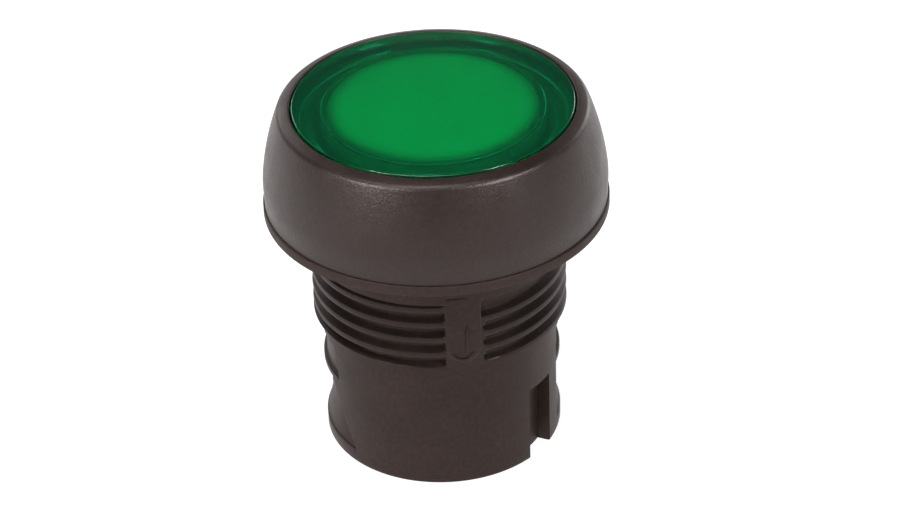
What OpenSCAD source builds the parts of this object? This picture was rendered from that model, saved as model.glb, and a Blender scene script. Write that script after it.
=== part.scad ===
// Flush panel pilot light head for a 22 mm panel hole.
// The panel's front face is z = 0: the head stands above it and the threaded neck and barrel hang below.
// The key that stops the head from turning points along -Y.

/* [Panel fit] */
// Outside diameter of the plain collar that centres the head in the panel hole
collar_d = 22.2; // [21.8:0.1:22.6]
// Length of the plain collar, measured down from the panel's front face
collar_len = 3.45; // [2:0.05:4.5]
// Width of the key that enters the notch of the panel hole
key_w = 3.1; // [2.4:0.1:4]
// Length of the sloping lead-in at the lower end of the key
key_lead = 1.1; // [0.6:0.1:2]

/* [Neck and barrel] */
// Outside diameter of the thread for the fixing nut
thread_d = 22; // [21.4:0.1:22.2]
// Length of the neck below the panel's front face
neck_len = 9.85; // [8:0.05:13]
// Outside diameter of the barrel
barrel_d = 20.7; // [20:0.1:21.2]
// Length of the barrel below the neck
barrel_len = 12.6; // [10.5:0.1:18]
// Diameter of the barrel's bore, which takes the lamp block
bore_d = 16.4; // [16:0.1:17.2]
// Depth of the barrel's bore from its open end
bore_depth = 16; // [12:0.1:17]
// Bevel on the outer and inner edges of the barrel's open end
barrel_bevel = 0.15; // [0.05:0.05:0.4]

/* [Locating notch] */
// Width of the notch in the outside of the barrel, at its open end
notch_w = 3; // [2:0.1:5]
// Height of the notch
notch_h = 7.2; // [4:0.1:9]
// Depth of the notch into the barrel's wall
notch_depth = 1.15; // [0.6:0.05:1.4]
// Angle of the notch, measured from the key towards +X
notch_angle = 44.3; // [35:0.1:50]

/* [Latch pockets] */
// Turn of the pair of pockets away from the X axis
pocket_angle = 2.3; // [-5:0.1:5]
// Height of the rim left below each lower pocket
rim_h = 1.3; // [0.8:0.1:2]
// Height of the lower pocket
pocket_h = 5.9; // [4:0.1:6.2]
// Depth of the lower pocket at its top
pocket_depth = 1.1; // [0.5:0.05:1.3]
// Depth of the lower pocket at its bottom
foot_depth = 0.1; // [0.05:0.05:0.4]
// Height over which the lower pocket ramps up to its full depth
ramp_h = 4.2; // [2:0.1:4.6]
// Distance from the pocket's centre line to its straight side
pocket_side = 5; // [3:0.1:5.6]
// Distance from the centre line to the sloping side, at the bottom of the lower pocket
pocket_foot = 5.1; // [3:0.1:6]
// Distance from the centre line to the sloping side, at the top of the lower pocket
pocket_head = 1.9; // [1.2:0.1:3]
// Height of the bar between the lower and the upper pocket
land_h = 0.55; // [0.4:0.05:1.5]
// Height of the upper pocket
upper_h = 3; // [1.5:0.1:3.4]
// Depth of the upper pocket
upper_depth = 0.3; // [0.1:0.05:0.6]
// Distance from the centre line to the sloping side, at the bottom of the upper pocket
upper_foot = 3.1; // [2:0.1:4]
// Distance from the centre line to the sloping side, at the top of the upper pocket
upper_head = 2.4; // [1.2:0.1:3]

/* [Bezel ring] */
// Largest diameter of the bezel ring
bezel_d = 29.5; // [29:0.1:33]
// Height of the bezel ring
bezel_h = 8.85; // [8.5:0.05:11]
// Radius of the crowned side of the bezel ring
crown_r = 22.6; // [20:0.1:60]
// Fall of the rim from the lens outwards, in degrees
rim_slope = 20; // [8:1:25]
// Rounding between the rim and the crowned side
shoulder_r = 0.7; // [0.2:0.05:1.2]
// Width of the rim between the lens opening and the largest diameter
rim_w = 2.7; // [2.2:0.05:3.2]
// Wall of the bezel ring around the cup, measured from the largest diameter
bezel_wall = 2.05; // [1.9:0.05:2.3]
// Wall of the bezel ring around the flange, measured from the largest diameter
skirt_wall = 1.45; // [1.2:0.05:1.7]
// Thickness of the lip that holds the lens down
lip_t = 2.1; // [1.6:0.05:2.6]
// Size of the snap bead that holds the bezel ring on the flange
bead_r = 0.4; // [0.25:0.05:0.5]

/* [Body cup] */
// Thickness of the flange
flange_t = 2.4; // [1.8:0.1:3]
// Thickness of the cup wall that carries the lens
cup_wall = 1.4; // [1.2:0.05:1.5]
// Thickness of the cup's floor
floor_t = 1.7; // [1.2:0.1:2.2]
// Diameter of the light passage through the neck
passage_d = 15.2; // [12:0.1:16]

/* [Lens] */
// Thickness of the lens face
lens_t = 0.8; // [0.6:0.1:1.8]
// Rounding at the edge of the lens face
lens_edge_r = 0.3; // [0.1:0.05:0.6]
// Thickness of the lens flange under the lip
lens_flange_t = 1; // [0.7:0.1:1.2]
// Length of the lens skirt below its flange
skirt_len = 2.8; // [2.4:0.1:3]
// Wall thickness of the lens skirt
skirt_t = 1.6; // [1.5:0.05:1.7]

/* [Light parts] */
// Free ring between the white diffuser and the lens skirt
diffuser_gap = 0.65; // [0.5:0.05:1.5]
// Thickness of the diffuser
diffuser_t = 0.9; // [0.6:0.1:1.4]
// Wall thickness of the reflector sleeve
sleeve_t = 0.7; // [0.5:0.05:1]
// Length of the sleeve's tube below the cup's floor
sleeve_len = 7; // [4:0.1:7.5]

/* [Seals] */
// Thickness of the flat gasket between head and panel
gasket_t = 0.9; // [0.5:0.1:1.6]
// Depth of the groove above the collar that keeps the gasket in place
gasket_groove = 0.4; // [0.2:0.05:0.8]
// Cord diameter of the O-ring that seals the lens
seal_cord = 1.1; // [0.9:0.05:1.2]

/* [Clearances] */
// Free gap around the lens inside the rim
lens_gap = 0.17; // [0.1:0.01:0.3]
// Sliding clearance between pieces that fit into each other
fit_gap = 0.1; // [0.05:0.01:0.15]
// Small clearance of the seals
seal_gap = 0.05; // [0.02:0.01:0.08]

/* [Hidden] */
$fn = 96;
eps = 0.01;
reach = 40;

// Radii
collar_r = collar_d / 2;
thread_r = thread_d / 2;
barrel_r = barrel_d / 2;
bore_r = bore_d / 2;
bezel_r = bezel_d / 2;
flange_r = bezel_r - skirt_wall - fit_gap;
cup_r = bezel_r - bezel_wall - fit_gap;
cup_bore_r = cup_r - cup_wall;
passage_r = passage_d / 2;
lip_r = bezel_r - rim_w;
lens_r = lip_r - lens_gap;
lens_flange_r = cup_r - fit_gap;
skirt_r = cup_bore_r - fit_gap;
skirt_bore_r = skirt_r - skirt_t;
diffuser_r = skirt_bore_r - diffuser_gap;
gasket_bore_r = collar_r - gasket_groove;
sleeve_r = passage_r - fit_gap;

// Heights, from the open end of the barrel up to the lens face
barrel_end_z = -neck_len - barrel_len;
seam_z = gasket_t;
head_top_z = seam_z + bezel_h;
flange_top_z = seam_z + flange_t;
lip_under_z = head_top_z - lip_t;
lens_seat_z = lip_under_z - lens_flange_t - seal_gap;
cup_floor_z = seam_z + floor_t;
lens_inner_z = head_top_z - lens_t;
diffuser_z = lens_inner_z - seal_gap - diffuser_t;
seal_z = lens_seat_z - skirt_len / 2;
bore_top_z = barrel_end_z + bore_depth;
pocket_z = barrel_end_z + rim_h;
upper_z = pocket_z + pocket_h + land_h;
bead_z = seam_z + flange_t / 2;
notch_half = asin(notch_w / 2 / barrel_r);

// Rounding between the sloping rim and the crowned side: centre and the two points where it is tangent
crown_c = [bezel_r - crown_r, seam_z];
rim_dir = [cos(rim_slope), -sin(rim_slope)];
rim_in = [-sin(rim_slope), -cos(rim_slope)];
rim_base = [lip_r, head_top_z] + shoulder_r * rim_in - crown_c;
rim_run = -rim_base * rim_dir
    + sqrt(pow(rim_base * rim_dir, 2) - rim_base * rim_base + pow(crown_r - shoulder_r, 2));
shoulder_c = crown_c + rim_base + rim_run * rim_dir;
shoulder_a = shoulder_c - shoulder_r * rim_in;
shoulder_dir = (shoulder_c - crown_c) / (crown_r - shoulder_r);
shoulder_b = crown_c + crown_r * shoulder_dir;
shoulder_mid = (shoulder_dir - rim_in) / norm(shoulder_dir - rim_in);
shoulder_tip = shoulder_c + shoulder_mid * 2 * shoulder_r;

// Half section of a ring between two radii and two heights
module ring_section(r_in, r_out, z_low, z_high) {
    translate([r_in, z_low])
        square([r_out - r_in, z_high - z_low]);
}

// Moulded body: cup, flange, collar, threaded neck and barrel in one piece
module body_section() {
    difference() {
        polygon([
            [bore_r + barrel_bevel, barrel_end_z],
            [barrel_r - barrel_bevel, barrel_end_z],
            [barrel_r, barrel_end_z + barrel_bevel],
            [barrel_r, -neck_len],
            [thread_r, -neck_len],
            [thread_r, -collar_len],
            [collar_r, -collar_len],
            [collar_r, 0],
            [gasket_bore_r, gasket_groove],
            [gasket_bore_r, seam_z],
            [flange_r, seam_z],
            [flange_r, flange_top_z],
            [cup_r, flange_top_z],
            [cup_r, lens_seat_z],
            [cup_bore_r, lens_seat_z],
            [cup_bore_r, cup_floor_z],
            [passage_r, cup_floor_z],
            [passage_r, bore_top_z],
            [bore_r, bore_top_z],
            [bore_r, barrel_end_z + barrel_bevel]
        ]);
        translate([flange_r + fit_gap, bead_z])
            circle(bead_r + fit_gap);
    }
}

// Key along the neck, with a round lower end and a sloping lead-in
module key() {
    intersection() {
        rotate_extrude()
            polygon([
                [bore_r + (barrel_r - bore_r) / 2, -neck_len - eps],
                [barrel_r, -neck_len - eps],
                [collar_r, -neck_len + key_lead],
                [collar_r, -collar_len + eps],
                [bore_r + (barrel_r - bore_r) / 2, -collar_len + eps]
            ]);
        rotate([90, 0, 0])
            linear_extrude(reach)
                union() {
                    translate([-key_w / 2, -neck_len + key_w / 2])
                        square([key_w, neck_len]);
                    translate([0, -neck_len + key_w / 2])
                        circle(key_w / 2);
                }
    }
}

// Outline of a pocket, seen from outside: one straight side and one sloping side
module pocket_outline(z_low, height, foot, head) {
    rotate([90, 0, 90])
        linear_extrude(reach)
            polygon([
                [-pocket_side, z_low],
                [foot, z_low],
                [head, z_low + height],
                [-pocket_side, z_low + height]
            ]);
}

// Lower pocket: flat under its top edge, then a ramp out to the rim
module lower_pocket() {
    intersection() {
        rotate_extrude()
            polygon([
                [barrel_r - foot_depth, pocket_z],
                [barrel_r - pocket_depth, pocket_z + ramp_h],
                [barrel_r - pocket_depth, pocket_z + pocket_h],
                [reach, pocket_z + pocket_h],
                [reach, pocket_z]
            ]);
        pocket_outline(pocket_z, pocket_h, pocket_foot, pocket_head);
    }
}

module upper_pocket() {
    intersection() {
        rotate_extrude()
            ring_section(barrel_r - upper_depth, reach, upper_z, upper_z + upper_h);
        pocket_outline(upper_z, upper_h, upper_foot, upper_head);
    }
}

// The two sets of latch pockets, half a turn apart
module latch_pockets() {
    for (side = [0, 180])
        rotate([0, 0, side + pocket_angle]) {
            lower_pocket();
            upper_pocket();
        }
}

// Notch with radial sides, open at the barrel's end
module notch() {
    rotate([0, 0, notch_angle])
        intersection() {
            rotate_extrude()
                ring_section(
                    barrel_r - notch_depth, 2 * barrel_r, barrel_end_z - eps, barrel_end_z + notch_h
                );
            translate([0, 0, barrel_end_z - 2 * eps])
                linear_extrude(notch_h + 4 * eps)
                    polygon([
                        [0, 0],
                        [-reach * sin(notch_half), -reach * cos(notch_half)],
                        [reach * sin(notch_half), -reach * cos(notch_half)]
                    ]);
        }
}

module barrel_body() {
    color([0.25, 0.21, 0.2])
        difference() {
            union() {
                rotate_extrude()
                    body_section();
                key();
            }
            latch_pockets();
            notch();
        }
}

// Crowned bezel ring that snaps over the flange and holds the lens down
module bezel_outline() {
    rim_end = [lip_r, head_top_z] + reach * rim_dir;
    difference() {
        intersection() {
            translate(crown_c)
                circle(crown_r, $fn = 360);
            polygon([
                [lip_r, seam_z],
                [reach, seam_z],
                rim_end,
                [lip_r, head_top_z]
            ]);
        }
        polygon([shoulder_c, shoulder_a, shoulder_tip, shoulder_b]);
    }
    translate(shoulder_c)
        circle(shoulder_r);
}

module bezel_ring() {
    color([0.3, 0.26, 0.25])
        rotate_extrude() {
            difference() {
                bezel_outline();
                ring_section(0, lip_r, seam_z - eps, head_top_z + eps);
                ring_section(0, cup_r + fit_gap, seam_z - eps, lip_under_z);
                ring_section(0, flange_r + fit_gap, seam_z - eps, flange_top_z + fit_gap);
            }
            intersection() {
                translate([flange_r + fit_gap, bead_z])
                    circle(bead_r);
                ring_section(flange_r - bead_r, flange_r + fit_gap + eps, seam_z, flange_top_z);
            }
        }
}

// Green lens: a flush face, a flange under the lip and a skirt that holds the O-ring
module lens() {
    color([0.02, 0.5, 0.22])
        rotate_extrude()
            difference() {
                union() {
                    ring_section(0, lens_r - lens_edge_r, lens_seat_z, head_top_z);
                    ring_section(0, lens_r, lens_seat_z, head_top_z - lens_edge_r);
                    translate([lens_r - lens_edge_r, head_top_z - lens_edge_r])
                        circle(lens_edge_r);
                    ring_section(0, lens_flange_r, lens_seat_z, lens_seat_z + lens_flange_t);
                    ring_section(0, skirt_r, lens_seat_z - skirt_len, lens_seat_z);
                }
                ring_section(-eps, skirt_bore_r, lens_seat_z - skirt_len - eps, lens_inner_z);
                ring_section(
                    cup_bore_r - seal_cord - 2 * seal_gap, reach,
                    seal_z - seal_cord / 2 - seal_gap, seal_z + seal_cord / 2 + seal_gap
                );
            }
}

// White disc that spreads the light under the lens
module diffuser() {
    color([0.93, 0.94, 0.92])
        translate([0, 0, diffuser_z])
            cylinder(h = diffuser_t, r = diffuser_r);
}

// White reflector sleeve: a tube in the passage, a flange on the cup's floor and a flared mouth
module light_sleeve() {
    flare_z = cup_floor_z + sleeve_t;
    color([0.88, 0.88, 0.86])
        rotate_extrude()
            polygon([
                [sleeve_r, cup_floor_z - sleeve_len],
                [sleeve_r, cup_floor_z],
                [skirt_bore_r - fit_gap, cup_floor_z],
                [skirt_bore_r - fit_gap, flare_z],
                [sleeve_r + sleeve_t, flare_z],
                [diffuser_r, diffuser_z],
                [diffuser_r - sleeve_t, diffuser_z],
                [sleeve_r - sleeve_t, flare_z],
                [sleeve_r - sleeve_t, cup_floor_z - sleeve_len]
            ]);
}

// O-ring between the lens skirt and the cup wall
module lens_seal() {
    color([0.08, 0.08, 0.08])
        rotate_extrude()
            translate([cup_bore_r - seal_gap - seal_cord / 2, seal_z])
                circle(seal_cord / 2);
}

// Flat rubber gasket between the head and the panel
module panel_gasket() {
    color([0.2, 0.17, 0.16])
        rotate_extrude()
            polygon([
                [collar_r + seal_gap, 0],
                [bezel_r, 0],
                [bezel_r, gasket_t],
                [gasket_bore_r + seal_gap, gasket_t],
                [gasket_bore_r + seal_gap, gasket_groove]
            ]);
}

barrel_body();
bezel_ring();
lens();
diffuser();
light_sleeve();
lens_seal();
panel_gasket();
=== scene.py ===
import math

import bmesh
import bpy
import numpy as np
from mathutils import Matrix, Vector


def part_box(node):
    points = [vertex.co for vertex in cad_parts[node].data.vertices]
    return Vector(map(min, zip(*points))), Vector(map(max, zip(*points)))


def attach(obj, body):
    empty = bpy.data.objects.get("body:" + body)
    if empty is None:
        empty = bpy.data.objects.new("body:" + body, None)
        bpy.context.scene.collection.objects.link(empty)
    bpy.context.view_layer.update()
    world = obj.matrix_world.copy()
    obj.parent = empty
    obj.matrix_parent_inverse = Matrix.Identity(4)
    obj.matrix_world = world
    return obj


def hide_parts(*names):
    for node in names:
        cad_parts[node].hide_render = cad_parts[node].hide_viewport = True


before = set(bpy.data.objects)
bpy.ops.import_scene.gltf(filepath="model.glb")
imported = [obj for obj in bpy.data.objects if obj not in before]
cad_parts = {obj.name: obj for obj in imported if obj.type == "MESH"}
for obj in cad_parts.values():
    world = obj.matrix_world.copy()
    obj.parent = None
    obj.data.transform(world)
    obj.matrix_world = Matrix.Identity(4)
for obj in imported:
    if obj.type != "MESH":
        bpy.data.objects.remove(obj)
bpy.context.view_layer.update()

# ---------------------------------------------------------------- sizes from the CAD, in mm
# z is 0 on the panel's face; an angle turns from the key (-Y) towards +X.
MM = 0.001
body_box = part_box("barrel_body")
bezel_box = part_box("bezel_ring")
lens_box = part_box("lens")
gasket_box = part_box("panel_gasket")
diffuser_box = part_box("diffuser")
seal_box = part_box("lens_seal")
sleeve_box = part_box("light_sleeve")

BARREL_END = body_box[0][2] / MM
CUP_TOP = body_box[1][2] / MM
FLANGE_R = body_box[1][0] / MM
BEZEL_R = bezel_box[1][0] / MM
SEAM_Z = bezel_box[0][2] / MM
HEAD_TOP = bezel_box[1][2] / MM
LENS_FLANGE_R = lens_box[1][0] / MM
LENS_LOW = lens_box[0][2] / MM
GASKET_TOP = gasket_box[1][2] / MM
DIFFUSER_R = diffuser_box[1][0] / MM
DIFFUSER_LOW = diffuser_box[0][2] / MM
DIFFUSER_TOP = diffuser_box[1][2] / MM
SEAL_R = seal_box[1][0] / MM
SEAL_LOW = seal_box[0][2] / MM
SEAL_TOP = seal_box[1][2] / MM
SLEEVE_LOW = sleeve_box[0][2] / MM

# ---------------------------------------------------------------- body
COLLAR_R = 11.1
COLLAR_END = -3.45
GROOVE_R = COLLAR_R - 0.4
GROOVE_LOW = 0.4
NECK_END = -9.85
BARREL_R = 10.35
BARREL_BEVEL = 0.15
BORE_R = 8.2
BORE_TOP = BARREL_END + 16.0
PASSAGE_R = 7.6
CUP_R = 12.6
CUP_BORE_R = 11.2
CUP_FLOOR = SEAM_Z + 1.7
FLANGE_TOP = SEAM_Z + 2.4

# Thread: a crest's middle passes CREST_START at CREST_ANGLE. The flanks are straight with a share
# of a rounded form. Right of the key each groove has a round end, where it fades to full height.
PITCH = 1.5
THREAD_R = 11.0
ROOT_R = 10.38
CREST_HALF = 0.21
ROOT_EDGE = PITCH / 2 - 0.12
CREST_START = -4.0
CREST_ANGLE = -10.0
THREAD_TURNS = 6
ROUND_SHARE = 0.35
GROOVE_HALF = 0.5
GROOVE_END = 0.12
GROOVE_END_ROUND = 0.3
THREAD_FADE = 0.25

# Key: a pad between the thread's ends, with a recess above it and a faint ridge below to its right.
KEY_HALF = 1.55
KEY_END = -9.3
KEY_WALL = 0.12
KEY_BEVEL = 0.14
KEY_BEVEL_DEPTH = 0.04
KEY_SPAN = 8.2
KEY_SIDE = 10.5
NEAR_KEY = (-14, 18)
RECESS_Z = -2.8
RECESS_RIGHT = 0.4
RECESS_DEPTH = 0.09
RECESS_STEP = 0.05
COLLAR_ROUND = 0.05
RIDGE_ANGLE = 11.0
RIDGE_Z = -14.2
RIDGE_HEIGHT = 0.09
RIDGE_HALF_LENGTH = 1.0

# Notch: a blind slot in the barrel's outside, open at the barrel's end.
NOTCH_ANGLE = 44.3
NOTCH_HALF = math.degrees(math.asin(1.5 / BARREL_R))
NOTCH_BACK_R = BARREL_R - 1.15
NOTCH_TOP = BARREL_END + 7.2

# Pockets: two lie opposite each other. Each has a straight side on its left, a sloping side on
# its right, placed by POCKET_EDGES at POCKET_LEVELS, and a bar that parts it in two.
POCKET_CENTRES = (92.3, -87.7)
POCKET_SPAN = 35
POCKET_SIDE = 5.0
POCKET_LOW = BARREL_END + 1.3
POCKET_HIGH = POCKET_LOW + 5.9
UPPER_LOW = POCKET_HIGH + 0.55
UPPER_HIGH = UPPER_LOW + 3.0
POCKET_LEVELS = [POCKET_LOW, POCKET_HIGH, UPPER_LOW, UPPER_HIGH]
POCKET_EDGES = [5.1, 1.9, 3.1, 2.4]
RAMP_TOP = POCKET_LOW + 4.2
RAMP_DEPTHS = [0.1, 1.1]
UPPER_DEPTH = 0.3

# The body's mesh: columns and rows crowd at the edges of its features, at these gaps.
NOTCH_GAPS = (-0.06, -0.03, 0, 0.03, 0.06, 0.1)
LEVEL_GAPS = (-0.06, -0.03, 0, 0.035, 0.07, 0.14)
EDGE_INSIDE = 0.14
EDGE_OUTSIDE = 0.2
EDGE_GAPS = (-EDGE_INSIDE, -0.1, -0.07, -0.035, 0, 0.03, 0.06, EDGE_OUTSIDE)
EDGE_COLUMN = 2.6
POCKET_REACH = 6.3
KEY_STEP = 0.62
POCKET_STEP = 1.2
PLAIN_STEP = 1.7
ROW_STEP = 0.5

# ---------------------------------------------------------------- head
# Bezel: a round lip at the lens, a sloping rim, a shoulder, then a crown that draws in at the seam.
LIP_R = 12.05
LIP_ROUND = 0.12
LIP_DROP = 0.06
LIP_UNDER = HEAD_TOP - 2.1
RIM_SLOPE = math.radians(20)
SHOULDER_R = 0.7
CROWN_R = 22.6
CROWN_RISE = 0.06
SEAM_TUCK = 0.15
SEAM_R = BEZEL_R - 0.17
TUCK_HEIGHT = 2.6
BEZEL_GAP = 0.1

# Lens: a cap whose flange sits under the lip, with a groove round its skirt for the seal.
LENS_R = 11.88
LENS_SKIRT_R = 11.1
LENS_BORE_R = 9.5
LENS_GAP = 0.05
LENS_SEAT = LIP_UNDER - LENS_GAP
LENS_FLANGE_LOW = LENS_SEAT - 1.0
SEAL_GROOVE_R = 10.0
SEAL_GROOVE_LOW = 4.6
SEAL_GROOVE_TOP = 5.8

# Sleeve: a tube with a flange on the cup's floor and a cone that widens up to the diffuser.
SLEEVE_R = 7.5
SLEEVE_BORE_R = 6.8
SLEEVE_FLANGE_R = 9.4
SLEEVE_FLANGE_TOP = CUP_FLOOR + 0.7
CONE_FOOT_R = 8.2
CONE_TOP_R = 8.85
CONE_BORE_R = 8.15

GASKET_R = BEZEL_R - 0.006
GASKET_GAP = 0.05

# Plain mark on the key: a raised line with an arc below it.
LINE_ACROSS = 0.28
LINE_TOP = -5.65
LINE_LENGTH = 2.85
LINE_HALF = 0.19
LINE_RISE = 0.14
ARC_CENTRE = (-0.1, -8.14)
ARC_R = 0.9
ARC_START = math.radians(-165)
ARC_END = math.radians(-15)
ARC_HALF = 0.15
ARC_RISE = 0.12
STROKE_FOOT = -0.03

# ---------------------------------------------------------------- looks
BODY_COLOUR = (0.0430, 0.0258, 0.0215)
BEZEL_COLOUR = (0.0325, 0.0198, 0.0171)
GASKET_COLOUR = (0.053, 0.0325, 0.0280)
SEAL_COLOUR = (0.012, 0.012, 0.012)
LENS_COLOURS = [(0.3, (0.009, 0.60, 0.245)), (0.7, (0.010, 0.64, 0.262))]
DIFFUSER_COLOUR = (0.86, 0.87, 0.84)
REFLECTOR_COLOUR = (0.82, 0.82, 0.79)
HIGHLIGHT_TINT = (1.0, 0.86, 0.83, 1)
# Painted shade on the diffuser: grey levels across a band inside its edge, darkening out to the
# edge as if shaded by the lens skirt and cup.
PAINTED_EDGE_SHADE = [(0, 1), (0.45, 0.8), (1, 0.24)]
EDGE_SHADE_WIDTH = 1.3

# Scales of the noise that varies each quality of a surface, in waves a metre.
MOTTLE_SCALE = 160
GLOSS_SCALE = 420
GRAIN_SCALE = 5200
WAVE_SCALE = 300
WAVE_DEPTH = 0.0002
LENS_TINT_SCALE = 90
LENS_GLOSS_SCALE = 600
LENS_RIPPLE_SCALE = 250
WHITE_TONE_SCALE = 200
WHITE_GRAIN_SCALE = 3000
WHITE_GRAIN_DEPTH = 0.00002

# World: grey by height, from straight down (0) over the horizon (0.5) to straight up (1), and
# dimmed towards one side.
SKY_LEVELS = [(0.40, 0.35), (0.5, 0.5), (0.58, 0.45), (0.64, 0.4), (0.68, 0.03)]
DIM_SIDE = (0.57, -0.82, 0)
DIM_LEVELS = [(0.1, 1), (0.7, 0.3)]

# Lights: place and side in metres, power in watts, and whether it fills or only gives highlights.
LIGHTS = [
    ("soft_top", (-0.1, -0.12, 0.6), 0.35, 2.5, True),
    ("soft_left", (-0.434, -0.304, 0.28), 0.16, 3.4, False),
    ("soft_front", (0.30, -0.38, 0.30), 0.15, 3.3, False),
    ("soft_right", (0.50, 0.45, 0.12), 0.25, 1.2, True),
    ("soft_back", (-0.24, 0.60, 0.26), 0.25, 0.7, True),
]
LIGHT_AIM = (0, 0, -0.004)

# Floor: half its side and its drop below the part in metres, its own grey, and its glow.
FLOOR_HALF = 2.0
FLOOR_DROP = 0.00002
FLOOR_GREY = 0.35
FLOOR_GLOW = 0.94

# Camera: it looks at the target from this direction, then is shifted right and up by a little.
CAMERA_LENS = 120.4
CAMERA_AZIMUTH = math.radians(-10.0)
CAMERA_ELEVATION = math.radians(33.33)
CAMERA_ROLL = math.radians(-1.966)
CAMERA_DISTANCE = 260.0
CAMERA_TARGET = Vector((0, 0, -6.20))
CAMERA_RIGHT = 0.990
CAMERA_UP = 0.598


# ---------------------------------------------------------------- mesh helpers
# Vertices closer than this merge, in metres, and a fillet takes at most this share of an edge.
MERGE_DISTANCE = 2e-7
SHORTEST_EDGE = 1e-7
FILLET_SHARE = 0.49


def link_object(name, data):
    obj = bpy.data.objects.new(name, data)
    bpy.context.collection.objects.link(obj)
    return obj


def make_object(name, verts, faces, smooth_angle=35):
    """Object from a mesh in millimetres; edges sharper than smooth_angle stay sharp."""
    mesh = bpy.data.meshes.new(name)
    mesh.from_pydata([tuple(c * MM for c in v) for v in verts], [], faces)
    mesh.validate()
    bm = bmesh.new()
    bm.from_mesh(mesh)
    bmesh.ops.remove_doubles(bm, verts=bm.verts, dist=MERGE_DISTANCE)
    bmesh.ops.dissolve_degenerate(bm, edges=bm.edges, dist=SHORTEST_EDGE)
    bmesh.ops.recalc_face_normals(bm, faces=bm.faces)
    limit = math.radians(smooth_angle)
    for edge in bm.edges:
        edge.smooth = len(edge.link_faces) == 2 and edge.calc_face_angle(0) < limit
    for face in bm.faces:
        face.smooth = True
    bm.to_mesh(mesh)
    bm.free()
    return link_object(name, mesh)


def polar(radius, angle, z):
    turn = math.radians(angle)
    return (radius * math.sin(turn), -radius * math.cos(turn), z)


def arc_points(centre, radius, start, stop, steps):
    """Points along an arc from angle start to stop, in radians."""
    points = []
    for step in range(steps + 1):
        turn = start + (stop - start) * step / steps
        points.append((centre[0] + radius * math.cos(turn), centre[1] + radius * math.sin(turn)))
    return points


def filleted(points, steps=5):
    """Outline whose corners (r, z, fillet) are turned into arcs; a fillet of 0 leaves a corner."""
    out = []
    count = len(points)
    for index, (r, z, size) in enumerate(points):
        here = Vector((r, z))
        if size <= 0:
            out.append((r, z))
            continue
        before = Vector(points[index - 1][:2]) - here
        after = Vector(points[(index + 1) % count][:2]) - here
        half = before.angle(after) / 2
        room = FILLET_SHARE * min(before.length, after.length)
        run = min(size / math.tan(half), room)
        radius = run * math.tan(half)
        middle = (before.normalized() + after.normalized()).normalized()
        centre = here + middle * (radius / math.sin(half))
        start = here + before.normalized() * run - centre
        sweep = math.pi - 2 * half
        side = 1 if before.x * after.y - before.y * after.x < 0 else -1
        for step in range(steps + 1):
            turn = Matrix.Rotation(side * sweep * step / steps, 2)
            out.append(tuple(centre + turn @ start))
    return out


def ring_faces(rows, columns, closed=True):
    """Quads between rows of vertices; a closed set also joins its last row to its first."""
    faces = []
    for row in range(rows if closed else rows - 1):
        here = row * columns
        other = (row + 1) % rows * columns
        for c in range(columns):
            d = (c + 1) % columns
            faces.append((here + c, here + d, other + d, other + c))
    return faces


def revolve(name, outline, columns=256, smooth_angle=35):
    """Closed ring, or a solid where the outline starts and ends on the axis."""
    solid = outline[0][0] < 1e-6 and outline[-1][0] < 1e-6
    verts = []
    for r, z in outline:
        verts += [polar(r, 360 * c / columns, z) for c in range(columns)]
    faces = ring_faces(len(outline), columns, closed=not solid)
    return make_object(name, verts, faces, smooth_angle)


def smoothstep(low, high, x):
    t = min(1.0, max(0.0, (x - low) / (high - low)))
    return t * t * (3 - 2 * t)


def spread(start, stop, step):
    """Even places from start up to stop, without stop itself."""
    count = max(1, round((stop - start) / step))
    return [start + (stop - start) * k / count for k in range(count)]


# ---------------------------------------------------------------- moulded body
def degrees_along(width):
    """Angle of a width measured along the barrel's surface."""
    return math.degrees(width / BARREL_R)


def angle_at(across, radius=BARREL_R):
    """Angle of a point that lies this far sideways on a circle."""
    return math.degrees(math.asin(across / radius))


def beside_key(angle, radius):
    """Distance from the key's side along the surface, negative on the key."""
    return abs(math.radians(angle)) * radius - KEY_HALF


def pocket_columns():
    """Places of the mesh columns across a pocket, with lines on both of its sides."""
    marks = [-POCKET_REACH, 0, POCKET_REACH]
    marks += [-POCKET_SIDE - gap for gap in EDGE_GAPS]
    marks += [EDGE_COLUMN + gap for gap in EDGE_GAPS]
    return sorted(marks)


def column_marks():
    """Angles that need a mesh column: the edges of the key, the notch and the pockets."""
    key_edge = angle_at(KEY_HALF, COLLAR_R)
    key_foot = angle_at(KEY_HALF, ROOT_R)
    marks = [0, NOTCH_ANGLE, *NEAR_KEY]
    for side in (-1, 1):
        marks += [side * place for place in (key_edge - 0.3, key_edge, key_foot, KEY_SIDE)]
        marks += [NOTCH_ANGLE + side * (NOTCH_HALF + degrees_along(gap)) for gap in NOTCH_GAPS]
    for centre in POCKET_CENTRES:
        marks += [centre + angle_at(across) for across in pocket_columns()]
    return sorted(set(round(mark, 6) for mark in marks))


def column_angles():
    """Angles of all mesh columns: the marks, with even steps between them."""
    marks = column_marks()
    angles = []
    for mark, following in zip(marks, marks[1:] + [marks[0] + 360]):
        middle = (mark + following) / 2
        step = PLAIN_STEP
        if min(abs(middle - centre) for centre in POCKET_CENTRES) < POCKET_SPAN:
            step = POCKET_STEP
        if NEAR_KEY[0] < middle < NEAR_KEY[1]:
            step = KEY_STEP
        angles += spread(mark, following, step)
    return angles


def pocket_across(angle, z):
    """Centre and sideways place of a column near a pocket; columns follow its sloping side."""
    for centre in POCKET_CENTRES:
        if abs(angle - centre) >= angle_at(POCKET_REACH):
            continue
        across = BARREL_R * math.sin(math.radians(angle - centre))
        if across > 0:
            edge = float(np.interp(z, POCKET_LEVELS, POCKET_EDGES))
            across = float(np.interp(
                across,
                [0, EDGE_COLUMN - EDGE_INSIDE, EDGE_COLUMN + EDGE_OUTSIDE, POCKET_REACH],
                [0, edge - EDGE_INSIDE, edge + EDGE_OUTSIDE, POCKET_REACH],
            ))
        return centre, across
    return None, 0.0


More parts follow.
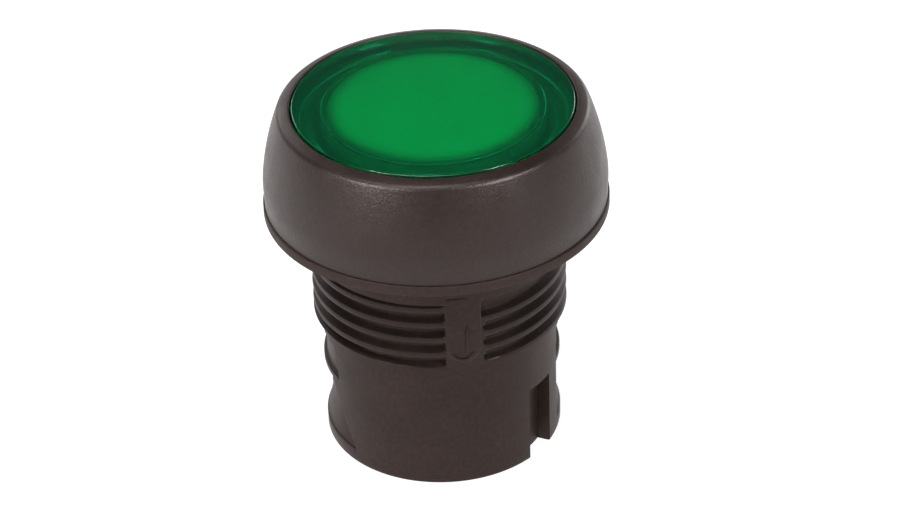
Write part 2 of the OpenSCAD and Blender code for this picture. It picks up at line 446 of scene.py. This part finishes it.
def pocket_distance(across, z, low, high, foot, head):
    """Signed distance to a pocket's outline, negative inside."""
    slope = (foot - head) / (high - low)
    sloping = (across - (foot - slope * (z - low))) / math.hypot(1, slope)
    side = max(-POCKET_SIDE - across, sloping)
    ends = max(low - z, z - high)
    if side > 0 and ends > 0:
        return math.hypot(side, ends)
    return max(side, ends)


def pocket_wall(distance):
    """1 inside a pocket and 0 outside it, with a steep wall between."""
    return smoothstep(-0.1, 0.06, -distance - 0.04)


def pocket_radius(across, z):
    foot, head, upper_foot, upper_head = POCKET_EDGES
    depth = float(np.interp(z, [POCKET_LOW, RAMP_TOP], RAMP_DEPTHS))
    lower = pocket_distance(across, z, POCKET_LOW, POCKET_HIGH, foot, head)
    upper = pocket_distance(across, z, UPPER_LOW, UPPER_HIGH, upper_foot, upper_head)
    return BARREL_R - depth * pocket_wall(lower) - UPPER_DEPTH * pocket_wall(upper)


def notched(radius, angle, z):
    """Radius of the barrel's outside where the notch may cut it."""
    beside = math.radians(abs(angle - NOTCH_ANGLE) - NOTCH_HALF) * BARREL_R
    gap = max(beside, z - NOTCH_TOP)
    back = BARREL_R + (NOTCH_BACK_R - BARREL_R) * smoothstep(-0.03, 0.06, 0.03 - gap)
    return min(radius, back)


def unwound(angle):
    """The angle leftwards from the key: 0 at the key down to -360 back at it."""
    return angle - 360 if angle > 0 else angle


def thread_lift(away):
    """Height of the thread's profile, 0 to 1, this far from the middle of its crest."""
    rounded = 1 - smoothstep(CREST_HALF - 0.04, ROOT_EDGE + 0.04, away)
    straight = float(np.interp(away, [CREST_HALF, ROOT_EDGE], [1, 0]))
    return ROUND_SHARE * rounded + (1 - ROUND_SHARE) * straight


def thread_radius(angle, z):
    """Radius of the neck: a right-hand thread that starts and ends beside the key."""
    crest = CREST_START + PITCH * (unwound(angle) - CREST_ANGLE) / 360
    if z > crest:
        away = z - crest
    else:
        away = abs((z - crest + PITCH / 2) % PITCH - PITCH / 2)
    beside = beside_key(angle, THREAD_R)
    last_turn = 1 - smoothstep(0.04, 0.4, z - NECK_END)
    lift = max(thread_lift(away), last_turn * smoothstep(-0.1, 0.15, beside))
    if angle > 0 and z < crest + CREST_HALF:
        ending = GROOVE_END + GROOVE_END_ROUND * ((PITCH / 2 - away) / GROOVE_HALF) ** 2
        lift = max(lift, 1 - smoothstep(ending, ending + THREAD_FADE, beside))
    if beside < 0:
        lift = 1
    return ROOT_R + (THREAD_R - ROOT_R) * lift


def key_radius(angle, z):
    """Radius of the key pad, or 0 outside it; its lower end is round."""
    across = abs(math.radians(angle) * COLLAR_R)
    if across > KEY_HALF + KEY_WALL:
        return 0.0
    centre = KEY_END + KEY_HALF
    if z < centre:
        gap = math.hypot(across, z - centre) - KEY_HALF
    else:
        gap = across - KEY_HALF
    top = float(np.interp(z, [NECK_END, KEY_END + 0.1], [BARREL_R, COLLAR_R]))
    drop = smoothstep(-0.02, KEY_WALL, gap) * (top - BARREL_R)
    bevel = smoothstep(-KEY_BEVEL, 0.0, gap) * KEY_BEVEL_DEPTH
    return top - drop - bevel


def neck_starts():
    """Heights of the helical rows at angle 0, from the top down, crowded at the flanks."""
    flank = [0.25, 0.3, 0.35, 0.42, 0.5, 0.58, 0.64, 0.7]
    offsets = [0.0] + flank + [PITCH - offset for offset in reversed(flank)]
    first = CREST_START - CREST_ANGLE * PITCH / 360 + PITCH
    starts = []
    for turn in range(THREAD_TURNS + 1):
        starts += [first - turn * PITCH - offset for offset in offsets]
    return starts


# Each row is a function that gives the radius, angle and height of its vertex in a column.
def fixed_row(radius, z):
    def row(angle):
        return radius, angle, z
    return row


def collar_row(z):
    """The collar, with a short shallow recess above the key."""
    def row(angle):
        across = math.radians(angle) * COLLAR_R
        beside = max(-KEY_HALF - across, across - RECESS_RIGHT)
        dip = RECESS_DEPTH * (1 - smoothstep(0.02, 0.16, abs(z - RECESS_Z)))
        return COLLAR_R - dip * (1 - smoothstep(-0.3, 0.0, beside)), angle, z
    return row


def collar_edge_row(drop, z):
    """The collar's rounded lower edge, which the key fills."""
    def row(angle):
        return COLLAR_R - drop * smoothstep(-0.1, 0.1, beside_key(angle, COLLAR_R)), angle, z
    return row


def neck_row(start):
    """A helical row; across the key it runs back to its own start."""
    def row(angle):
        turn = unwound(angle)
        if abs(angle) <= KEY_SPAN:
            turn = -180 - (180 - KEY_SPAN) * angle / KEY_SPAN
        z = min(COLLAR_END, max(NECK_END, start + PITCH * turn / 360))
        return max(thread_radius(angle, z), key_radius(angle, z)), angle, z
    return row


def mould_ridge(angle, z):
    """Height of the faint upright ridge on the barrel, to the right of the key."""
    across = abs(math.radians(angle - RIDGE_ANGLE)) * BARREL_R
    beyond = abs(z - RIDGE_Z) - RIDGE_HALF_LENGTH
    return RIDGE_HEIGHT * (1 - smoothstep(0.02, 0.16, across)) * (1 - smoothstep(0, 0.4, beyond))


def barrel_row(z):
    def row(angle):
        centre, across = pocket_across(angle, z)
        if centre is None:
            return notched(BARREL_R + mould_ridge(angle, z), angle, z), angle, z
        radius = pocket_radius(across, z)
        return radius, centre + angle_at(across, radius), z
    return row


def foot_row(radius, z):
    """A row of the barrel's end or bore, whose columns meet those of the pockets."""
    def row(angle):
        centre, across = pocket_across(angle, z)
        if centre is not None:
            angle = centre + angle_at(across)
        return notched(radius, angle, z), angle, z
    return row


def barrel_heights():
    """Heights of the barrel's rows, from the top down."""
    marks = [BARREL_END + BARREL_BEVEL, NECK_END, RAMP_TOP]
    marks += [level + gap for level in (POCKET_LOW, UPPER_LOW) for gap in LEVEL_GAPS]
    marks += [level - gap for level in (POCKET_HIGH, UPPER_HIGH) for gap in LEVEL_GAPS]
    marks += [NOTCH_TOP + gap for gap in NOTCH_GAPS]
    marks = sorted(set(marks))
    heights = [marks[-1]]
    for low, high in zip(marks, marks[1:]):
        heights += spread(low, high, ROW_STEP)
    return sorted(heights, reverse=True)


def head_rows():
    """Rows of the body's cup, flange and gasket groove, up to the collar's first edge."""
    outline = filleted([
        (PASSAGE_R, CUP_FLOOR, 0.15), (CUP_BORE_R, CUP_FLOOR, 0.2),
        (CUP_BORE_R, CUP_TOP, 0.1), (CUP_R, CUP_TOP, 0.15),
        (CUP_R, FLANGE_TOP, 0.1), (FLANGE_R, FLANGE_TOP, 0.15),
        (FLANGE_R, SEAM_Z, 0.1), (GROOVE_R, SEAM_Z, 0),
        (GROOVE_R, GROOVE_LOW, 0), (COLLAR_R, 0, 0.05),
        (COLLAR_R, COLLAR_END, 0), (PASSAGE_R, COLLAR_END, 0),
    ], steps=3)
    return [fixed_row(r, z) for r, z in outline[:-2]]


def end_rows():
    """Rows of the barrel's end, the bore and the light passage."""
    outline = filleted([
        (BARREL_R, 0, 0), (BARREL_R, BARREL_END, BARREL_BEVEL),
        (BORE_R, BARREL_END, BARREL_BEVEL), (BORE_R, BORE_TOP, 0.3),
        (PASSAGE_R, BORE_TOP, 0.15), (PASSAGE_R, CUP_FLOOR, 0),
    ], steps=4)
    return [foot_row(r, z) for r, z in outline[2:-1]]


def make_body():
    """One watertight skin from the cup over the collar, neck and barrel to the bore."""
    rows = head_rows()
    rows += [collar_row(RECESS_Z + RECESS_STEP * k) for k in range(6, -7, -1)]
    rows += [collar_edge_row(0, COLLAR_END + COLLAR_ROUND)]
    rows += [collar_edge_row(COLLAR_ROUND, COLLAR_END)]
    rows += [neck_row(start) for start in neck_starts()]
    rows += [barrel_row(z) for z in barrel_heights()]
    rows += end_rows()
    angles = column_angles()
    verts = []
    for row in rows:
        verts += [polar(*row(angle)) for angle in angles]
    faces = ring_faces(len(rows), len(angles))
    return make_object("body_shell", verts, faces, smooth_angle=40)


# ---------------------------------------------------------------- head and light parts
def bezel_rim():
    """Points of the rim: the lip's round edge, then the shoulder between rim and crown.

    The shoulder's centre lies SHOULDER_R inside both the sloping rim's line and the crown's arc.
    """
    crown = Vector((BEZEL_R - CROWN_R, SEAM_Z))
    rim_dir = Vector((math.cos(RIM_SLOPE), -math.sin(RIM_SLOPE)))
    rim_in = Vector((-math.sin(RIM_SLOPE), -math.cos(RIM_SLOPE)))
    base = Vector((LIP_R, HEAD_TOP)) + SHOULDER_R * rim_in - crown
    ahead = base.dot(rim_dir)
    reach = math.sqrt(ahead ** 2 - base.dot(base) + (CROWN_R - SHOULDER_R) ** 2) - ahead
    shoulder = crown + base + reach * rim_dir
    from_angle = math.atan2(-rim_in.y, -rim_in.x)
    to_angle = math.atan2(shoulder.y - crown.y, shoulder.x - crown.x)
    lip = (LIP_R + LIP_ROUND, HEAD_TOP - LIP_DROP - LIP_ROUND)
    points = arc_points(lip, LIP_ROUND, math.pi, from_angle, 5)
    return points + arc_points(shoulder, SHOULDER_R, from_angle, to_angle, 12)


def bezel_crown(top_z):
    """Points of the crown from this height down, drawing in a little towards the seam."""
    top = math.asin((top_z - SEAM_Z) / CROWN_R)
    low = math.asin(CROWN_RISE / CROWN_R)
    points = []
    for r, z in arc_points((BEZEL_R - CROWN_R, SEAM_Z), CROWN_R, top, low, 24)[1:]:
        tuck = SEAM_TUCK * (1 - smoothstep(0, TUCK_HEIGHT, z - SEAM_Z))
        points.append((r - tuck, z))
    return points + [(SEAM_R, SEAM_Z)]


def make_bezel():
    outside = bezel_rim()
    outside += bezel_crown(outside[-1][1])
    inside = filleted([
        (BEZEL_R, SEAM_Z, 0), (FLANGE_R + BEZEL_GAP, SEAM_Z, 0.1),
        (FLANGE_R + BEZEL_GAP, FLANGE_TOP + BEZEL_GAP, 0.1),
        (CUP_R + BEZEL_GAP, FLANGE_TOP + BEZEL_GAP, 0.1),
        (CUP_R + BEZEL_GAP, LIP_UNDER, 0.1), (LIP_R, LIP_UNDER, 0.1), (LIP_R, HEAD_TOP, 0),
    ], steps=3)
    return revolve("bezel_crown", outside + inside[1:-1], columns=288)


def make_lens():
    outline = filleted([
        (0, HEAD_TOP, 0), (LENS_R, HEAD_TOP, 0.1), (LENS_R, LENS_SEAT, 0.1),
        (LENS_FLANGE_R, LENS_SEAT, 0.1), (LENS_FLANGE_R, LENS_FLANGE_LOW, 0.1),
        (LENS_SKIRT_R, LENS_FLANGE_LOW, 0.1), (LENS_SKIRT_R, SEAL_GROOVE_TOP, 0.1),
        (SEAL_GROOVE_R, SEAL_GROOVE_TOP, 0.1), (SEAL_GROOVE_R, SEAL_GROOVE_LOW, 0.1),
        (LENS_SKIRT_R, SEAL_GROOVE_LOW, 0.1), (LENS_SKIRT_R, LENS_LOW, 0.15),
        (LENS_BORE_R, LENS_LOW, 0.15), (LENS_BORE_R, DIFFUSER_TOP + LENS_GAP, 0.25),
        (0, DIFFUSER_TOP + LENS_GAP, 0),
    ])
    return revolve("lens_cap", outline)


def make_diffuser():
    outline = filleted([
        (0, DIFFUSER_TOP, 0), (DIFFUSER_R, DIFFUSER_TOP, 0.15),
        (DIFFUSER_R, DIFFUSER_LOW, 0.1), (0, DIFFUSER_LOW, 0),
    ], steps=4)
    return revolve("diffuser_disc", outline, columns=192)


def make_sleeve():
    outline = filleted([
        (SLEEVE_R, SLEEVE_LOW, 0.15), (SLEEVE_R, CUP_FLOOR, 0.05),
        (SLEEVE_FLANGE_R, CUP_FLOOR, 0.15), (SLEEVE_FLANGE_R, SLEEVE_FLANGE_TOP, 0.15),
        (CONE_FOOT_R, SLEEVE_FLANGE_TOP, 0.2), (CONE_TOP_R, DIFFUSER_LOW, 0.1),
        (CONE_BORE_R, DIFFUSER_LOW, 0.1), (SLEEVE_BORE_R, SLEEVE_FLANGE_TOP, 0.8),
        (SLEEVE_BORE_R, SLEEVE_LOW, 0.15),
    ], steps=4)
    return revolve("reflector_sleeve", outline, columns=192)


def make_seal():
    cord = (SEAL_TOP - SEAL_LOW) / 2
    centre = (SEAL_R - cord, SEAL_LOW + cord)
    outline = arc_points(centre, cord, 0, 2 * math.pi, 24)[:-1]
    return revolve("seal_ring", outline, columns=160, smooth_angle=180)


def make_gasket():
    inner = GROOVE_R + GASKET_GAP
    outline = filleted([
        (COLLAR_R + GASKET_GAP, 0, 0.03), (inner, GROOVE_LOW, 0.05), (inner, GASKET_TOP, 0.08),
        (GASKET_R, GASKET_TOP, 0.12), (GASKET_R, 0, 0.05),
    ], steps=4)
    return revolve("gasket_ring", outline, columns=288)


def raised_stroke(path, half_w, rise, verts, faces):
    """Low rounded bead with tapered ends along a path of (across, height) points on the key."""
    flank = 0.75 * rise
    section = [
        (-1, STROKE_FOOT), (-1, 0), (-0.7, flank), (0, rise),
        (0.7, flank), (1, 0), (1, STROKE_FOOT),
    ]
    first = len(verts)
    last = len(path) - 1
    for index, (x, z) in enumerate(path):
        before = Vector(path[max(0, index - 1)])
        after = Vector(path[min(last, index + 1)])
        along = (after - before).normalized()
        full = min(1.0, 0.35 + 0.25 * min(index, last - index))
        side = Vector((-along.y, along.x)) * half_w * full
        for w, lift in section:
            turn = math.degrees((x + side.x * w) / COLLAR_R)
            height = lift * full if lift > 0 else lift
            verts.append(polar(COLLAR_R + height, turn, z + side.y * w))
    count = len(section)
    for face in ring_faces(len(path), count, closed=False):
        faces.append([first + corner for corner in face])
    faces.append([first + c for c in range(count)])
    faces.append([first + last * count + c for c in range(count)])


def make_index_line():
    """Plain raised line on the key, with a plain arc below it."""
    verts = []
    faces = []
    line = [(LINE_ACROSS, LINE_TOP - LINE_LENGTH * k / 12) for k in range(13)]
    raised_stroke(line, LINE_HALF, LINE_RISE, verts, faces)
    arc = arc_points(ARC_CENTRE, ARC_R, ARC_START, ARC_END, 24)
    raised_stroke(arc, ARC_HALF, ARC_RISE, verts, faces)
    return make_object("index_line", verts, faces, smooth_angle=40)


# ---------------------------------------------------------------- materials
def shader(name):
    material = bpy.data.materials.new(name)
    material.use_nodes = True
    tree = material.node_tree
    return material, tree, tree.nodes["Principled BSDF"]


def add(tree, kind, **settings):
    node = tree.nodes.new(kind)
    for key, value in settings.items():
        setattr(node, key, value)
    return node


def set_inputs(node, values):
    for name, value in values.items():
        node.inputs[name].default_value = value


def object_coords(tree):
    return add(tree, "ShaderNodeTexCoord").outputs["Object"]


def noise(tree, coords, scale, detail, roughness=0.5):
    node = add(tree, "ShaderNodeTexNoise")
    set_inputs(node, {"Scale": scale, "Detail": detail, "Roughness": roughness})
    tree.links.new(coords, node.inputs["Vector"])
    return node.outputs["Fac"]


def ramp(tree, value, stops):
    """Colour by value, from stops of (place, colour or grey level)."""
    node = add(tree, "ShaderNodeValToRGB")
    elements = node.color_ramp.elements
    while len(elements) < len(stops):
        elements.new(0.5)
    for element, (place, colour) in zip(elements, stops):
        element.position = place
        element.color = (*colour, 1) if isinstance(colour, tuple) else (colour, colour, colour, 1)
    tree.links.new(value, node.inputs["Fac"])
    return node.outputs["Color"]


def multiply(tree, a, b):
    node = add(tree, "ShaderNodeMix", data_type="RGBA", blend_type="MULTIPLY")
    node.inputs["Factor"].default_value = 1.0
    tree.links.new(a, node.inputs["A"])
    tree.links.new(b, node.inputs["B"])
    return node.outputs["Result"]


def bump(tree, height, strength, distance, under=None):
    node = add(tree, "ShaderNodeBump")
    set_inputs(node, {"Strength": strength, "Distance": distance})
    tree.links.new(height, node.inputs["Height"])
    if under is not None:
        tree.links.new(under, node.inputs["Normal"])
    return node.outputs["Normal"]


def plastic(name, colour, rough, gloss, depth=0.00003):
    """Moulded plastic: soft mottling, spark-eroded grain of this depth and uneven roughness."""
    material, tree, bsdf = shader(name)
    coords = object_coords(tree)
    dark = tuple(c * 0.86 for c in colour)
    light = tuple(c * 1.14 for c in colour)
    mottle = ramp(tree, noise(tree, coords, MOTTLE_SCALE, 6, 0.6), [(0.3, dark), (0.7, light)])
    speck = ramp(tree, noise(tree, coords, GRAIN_SCALE / 2, 2), [(0.35, 0.9), (0.65, 1.1)])
    tree.links.new(multiply(tree, mottle, speck), bsdf.inputs["Base Color"])
    uneven = noise(tree, coords, GLOSS_SCALE, 5, 0.6)
    roughness = ramp(tree, uneven, [(0.3, rough[0]), (0.7, rough[1])])
    tree.links.new(roughness, bsdf.inputs["Roughness"])
    fine = bump(tree, noise(tree, coords, GRAIN_SCALE, 3, 0.6), 0.5, depth)
    broad = bump(tree, noise(tree, coords, WAVE_SCALE, 2), 0.15, WAVE_DEPTH, fine)
    tree.links.new(broad, bsdf.inputs["Normal"])
    set_inputs(bsdf, {"Specular IOR Level": gloss, "Specular Tint": HIGHLIGHT_TINT})
    return material


def green_plastic():
    """Translucent lens: mostly clear, tinted green, with a faint ripple and an uneven gloss."""
    material, tree, bsdf = shader("green_lens_plastic")
    coords = object_coords(tree)
    tint = ramp(tree, noise(tree, coords, LENS_TINT_SCALE, 3), LENS_COLOURS)
    tree.links.new(tint, bsdf.inputs["Base Color"])
    gloss = ramp(tree, noise(tree, coords, LENS_GLOSS_SCALE, 4), [(0.3, 0.11), (0.7, 0.16)])
    tree.links.new(gloss, bsdf.inputs["Roughness"])
    ripple = bump(tree, noise(tree, coords, LENS_RIPPLE_SCALE, 2), 0.06, WAVE_DEPTH)
    tree.links.new(ripple, bsdf.inputs["Normal"])
    set_inputs(bsdf, {"IOR": 1.49, "Specular IOR Level": 0.3, "Transmission Weight": 0.905})
    return material


def painted_edge_shade(tree, coords, radius):
    """Painted shade: white up to near the edge of a disc, then darker, from the distance to the
    axis.
    """
    flat = add(tree, "ShaderNodeVectorMath", operation="MULTIPLY")
    flat.inputs[1].default_value = (1, 1, 0)
    tree.links.new(coords, flat.inputs[0])
    length = add(tree, "ShaderNodeVectorMath", operation="LENGTH")
    tree.links.new(flat.outputs["Vector"], length.inputs[0])
    place = add(tree, "ShaderNodeMapRange")
    set_inputs(place, {"From Min": (radius - EDGE_SHADE_WIDTH) * MM, "From Max": radius * MM})
    tree.links.new(length.outputs["Value"], place.inputs["Value"])
    return ramp(tree, place.outputs["Result"], PAINTED_EDGE_SHADE)


def white_plastic(name, colour, rough, painted_shade_radius=None):
    """White plastic; with a shaded radius, a disc of it gets a painted shade, darker near its edge.
    """
    material, tree, bsdf = shader(name)
    coords = object_coords(tree)
    dark = tuple(c * 0.96 for c in colour)
    tone = ramp(tree, noise(tree, coords, WHITE_TONE_SCALE, 4), [(0.3, dark), (0.7, colour)])
    if painted_shade_radius:
        # Painted shade: the disc's white darkens near its edge.
        tone = multiply(tree, tone, painted_edge_shade(tree, coords, painted_shade_radius))
    tree.links.new(tone, bsdf.inputs["Base Color"])
    bsdf.inputs["Roughness"].default_value = rough
    fine = bump(tree, noise(tree, coords, WHITE_GRAIN_SCALE, 2), 0.2, WHITE_GRAIN_DEPTH)
    tree.links.new(fine, bsdf.inputs["Normal"])
    return material


def finish_piece(obj, node, material):
    """Material and body of a piece; the CAD node it stands for, if any, is hidden."""
    obj.data.materials.clear()
    obj.data.materials.append(material)
    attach(obj, "root")
    if node:
        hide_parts(node)


# ---------------------------------------------------------------- stage, light and camera
def make_floor():
    low = BARREL_END * MM - FLOOR_DROP
    mesh = bpy.data.meshes.new("floor")
    sides = [(-1, -1), (1, -1), (1, 1), (-1, 1)]
    corners = [(x * FLOOR_HALF, y * FLOOR_HALF, low) for x, y in sides]
    mesh.from_pydata(corners, [], [(0, 1, 2, 3)])
    floor = link_object("floor", mesh)
    material, _, bsdf = shader("floor_white")
    set_inputs(bsdf, {
        "Base Color": (FLOOR_GREY, FLOOR_GREY, FLOOR_GREY, 1), "Roughness": 0.9,
        "Specular IOR Level": 0.1, "Emission Color": (1, 1, 1, 1), "Emission Strength": FLOOR_GLOW,
    })
    mesh.materials.append(material)


def turn_towards(direction):
    """Rotation of a light or camera that looks this way."""
    return direction.to_track_quat("-Z", "Y")


def make_light(name, place, side, power, fills):
    """Square soft light; one that doesn't fill shows only in gloss and through the lens."""
    data = bpy.data.lights.new(name, "AREA")
    data.shape = "RECTANGLE"
    data.size = side
    data.size_y = side
    data.energy = power
    light = link_object(name, data)
    light.location = place
    light.rotation_mode = "QUATERNION"
    light.rotation_quaternion = turn_towards(Vector(LIGHT_AIM) - Vector(place))
    light.visible_diffuse = fills


def make_world():
    world = bpy.data.worlds.new("studio")
    bpy.context.scene.world = world
    world.use_nodes = True
    tree = world.node_tree
    background = tree.nodes["Background"]
    coords = add(tree, "ShaderNodeTexCoord").outputs["Generated"]
    split = add(tree, "ShaderNodeSeparateXYZ")
    tree.links.new(coords, split.inputs["Vector"])
    height = add(tree, "ShaderNodeMath", operation="MULTIPLY_ADD")
    tree.links.new(split.outputs["Z"], height.inputs[0])
    height.inputs[1].default_value = 0.5
    height.inputs[2].default_value = 0.5
    tone = ramp(tree, height.outputs["Value"], SKY_LEVELS)
    aside = add(tree, "ShaderNodeVectorMath", operation="DOT_PRODUCT")
    tree.links.new(coords, aside.inputs[0])
    aside.inputs[1].default_value = DIM_SIDE
    shade = ramp(tree, aside.outputs["Value"], DIM_LEVELS)
    tree.links.new(multiply(tree, tone, shade), background.inputs["Color"])
    background.inputs["Strength"].default_value = 1.0


def make_camera():
    data = bpy.data.cameras.new("camera")
    data.lens = CAMERA_LENS
    data.sensor_width = 36
    data.clip_start = 0.01
    data.clip_end = 10
    camera = link_object("camera", data)
    back = Vector((
        math.sin(CAMERA_AZIMUTH) * math.cos(CAMERA_ELEVATION),
        -math.cos(CAMERA_AZIMUTH) * math.cos(CAMERA_ELEVATION),
        math.sin(CAMERA_ELEVATION),
    ))
    turn = turn_towards(-back).to_matrix()
    right = turn @ Vector((1, 0, 0))
    up = turn @ Vector((0, 1, 0))
    place = CAMERA_TARGET + back * CAMERA_DISTANCE + right * CAMERA_RIGHT + up * CAMERA_UP
    camera.location = place * MM
    camera.rotation_mode = "QUATERNION"
    camera.rotation_quaternion = (turn @ Matrix.Rotation(CAMERA_ROLL, 3, "Z")).to_quaternion()
    bpy.context.scene.camera = camera


# ---------------------------------------------------------------- build
body_plastic = plastic("body_dark_plastic", BODY_COLOUR, (0.38, 0.5), gloss=0.18)
bezel_plastic = plastic("bezel_dark_plastic", BEZEL_COLOUR, (0.32, 0.43), gloss=0.42, depth=0.00007)
seal_rubber = plastic("seal_rubber_black", SEAL_COLOUR, (0.5, 0.7), gloss=0.5)
gasket_rubber = plastic("gasket_rubber_dark", GASKET_COLOUR, (0.5, 0.62), gloss=0.19)
green = green_plastic()
# The diffuser's white gets a painted shade that darkens it near its edge.
white = white_plastic("diffuser_white", DIFFUSER_COLOUR, 0.45, DIFFUSER_R)
reflector = white_plastic("reflector_white", REFLECTOR_COLOUR, 0.35)

finish_piece(make_body(), "barrel_body", body_plastic)
finish_piece(make_bezel(), "bezel_ring", bezel_plastic)
finish_piece(make_lens(), "lens", green)
finish_piece(make_diffuser(), "diffuser", white)
finish_piece(make_sleeve(), "light_sleeve", reflector)
finish_piece(make_seal(), "lens_seal", seal_rubber)
finish_piece(make_gasket(), "panel_gasket", gasket_rubber)
finish_piece(make_index_line(), None, body_plastic)

make_floor()
make_world()
for settings in LIGHTS:
    make_light(*settings)
make_camera()
bpy.context.scene.view_settings.view_transform = "Standard"
